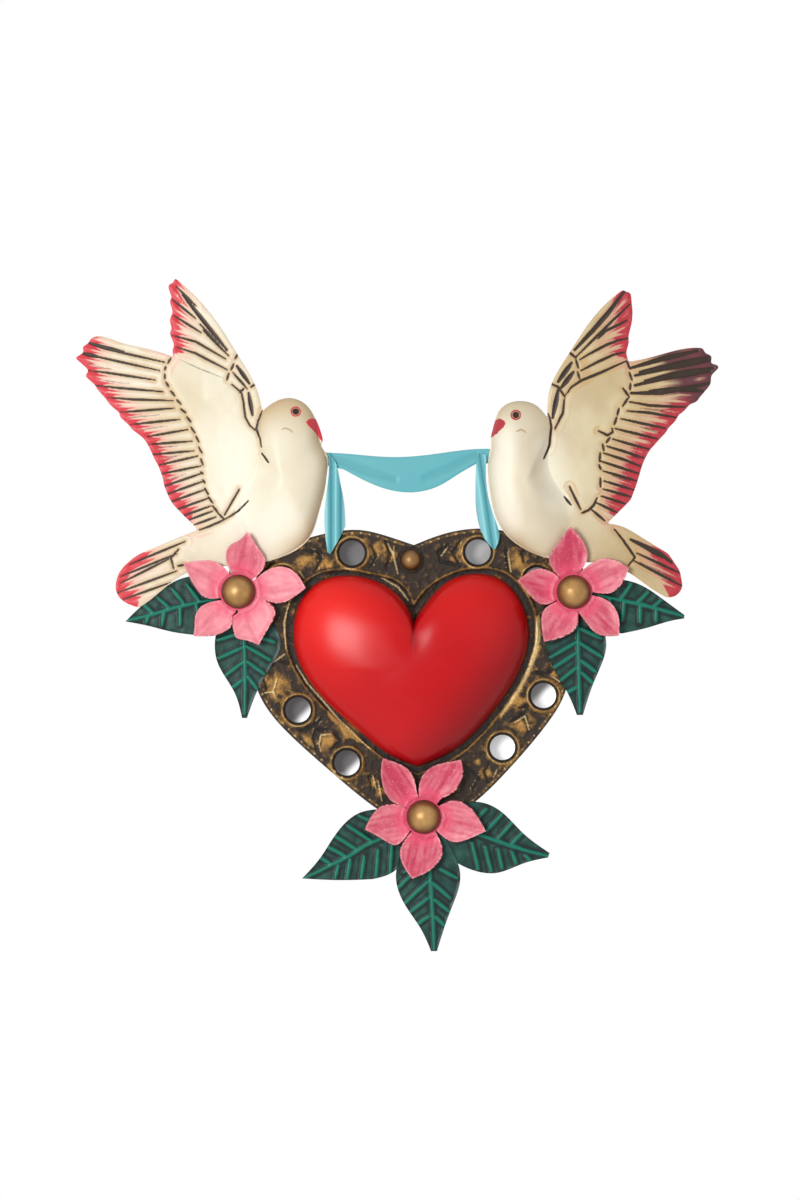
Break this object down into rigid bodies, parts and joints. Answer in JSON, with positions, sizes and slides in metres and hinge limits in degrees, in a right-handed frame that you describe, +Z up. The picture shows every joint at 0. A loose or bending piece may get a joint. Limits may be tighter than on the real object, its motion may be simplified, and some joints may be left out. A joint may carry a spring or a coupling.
{
  "type": "tin wall ornament",
  "caption": "Painted tin wall ornament: domed red heart on a pierced heart plate, with two doves, a ribbon, flowers and leaves, and a hanger ring behind.",
  "frame": {"origin": "the point of the wall nail that the hanger ring hangs on, on the wall plane", "axes": "+Z up the wall, +X to the right seen from the front, +Y into the wall; the wall is the plane Y = 0 and the front faces -Y"},
  "size_m": [0.322, 0.03, 0.3365],
  "materials": {
    "plate_patina": "dark brown patina rubbed with gold",
    "bare_tin": "dull tin",
    "heart_enamel": "satin red enamel",
    "dove_cream": "cream paint with dark rubbed lines",
    "ribbon_blue": "satin turquoise paint",
    "petal_pink": "satin pink paint",
    "leaf_green": "dark green paint with lighter veins",
    "gold_paint": "satin gold paint",
    "wire_steel": "drawn steel wire"
  },
  "bodies": {
    "ornament": {"heart_plate": "plate_patina", "side_band_left": "bare_tin", "side_band_right": "bare_tin", "red_heart": "heart_enamel", "top_stud": "gold_paint", "top_stud_cup": "plate_patina", "left_dove": "dove_cream", "right_dove": "dove_cream", "ribbon_swag": "ribbon_blue", "ribbon_tail_left": "ribbon_blue", "ribbon_tail_right": "ribbon_blue", "flower_left": "petal_pink", "flower_right": "petal_pink", "flower_bottom": "petal_pink", "boss_left": "gold_paint", "boss_right": "gold_paint", "boss_bottom": "gold_paint", "flower_post_left": "bare_tin", "flower_post_right": "bare_tin", "flower_post_bottom": "bare_tin", "left_leaf_outer": "leaf_green", "left_leaf_lower": "leaf_green", "right_leaf_outer": "leaf_green", "right_leaf_lower": "leaf_green", "bottom_leaf_left": "leaf_green", "bottom_leaf_middle": "leaf_green", "bottom_leaf_right": "leaf_green", "hanger_strap": "bare_tin"},
    "ring": {"hanger_ring": "wire_steel"}
  },
  "joints": [
    {"name": "ring_swing", "type": "hinge", "parent": "ornament", "child": "ring", "pos_m": [0, -0.0082, -0.0124], "axis": [1, 0, 0], "range_deg": [-175, 0]}
  ]
}
